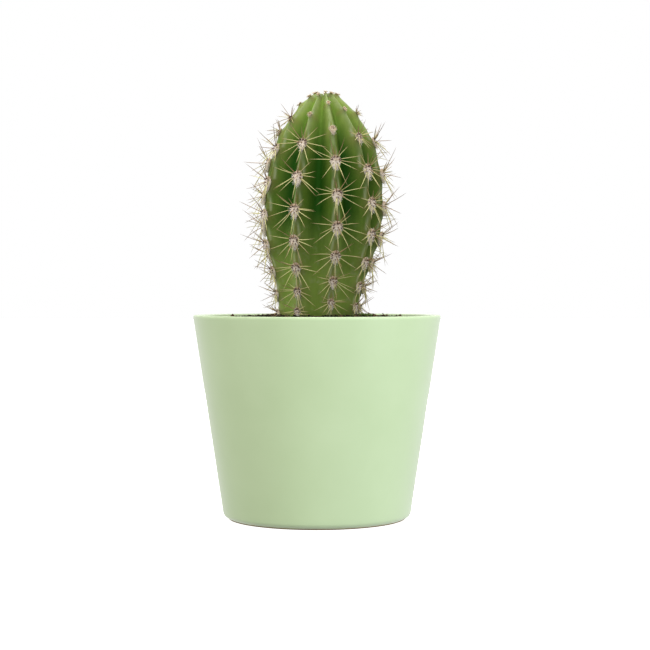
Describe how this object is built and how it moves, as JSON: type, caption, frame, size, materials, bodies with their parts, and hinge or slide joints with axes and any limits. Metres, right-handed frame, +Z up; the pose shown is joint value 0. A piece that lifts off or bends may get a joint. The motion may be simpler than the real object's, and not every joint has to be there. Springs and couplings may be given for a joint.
{
  "type": "potted cactus",
  "caption": "Upright ribbed cactus with woolly areoles and straight spines, rooted in soil in a plain tapered pot glazed pale green.",
  "frame": {"origin": "centre of the pot's foot, on the surface it stands on", "axes": "+Z up along the plant, -Y towards the front of the picture, +X to its right"},
  "size_m": [0.0906, 0.0906, 0.1555],
  "materials": {
    "pot_glaze": "satin pale green glaze, with an unglazed foot",
    "potting_soil": "dark crumbly peat and bark, matte",
    "cactus_skin": "waxy green skin, satin, with beige wool and straw spines"
  },
  "bodies": {
    "root": {"pot": "pot_glaze", "soil": "potting_soil", "cactus": "cactus_skin"}
  },
  "joints": []
}
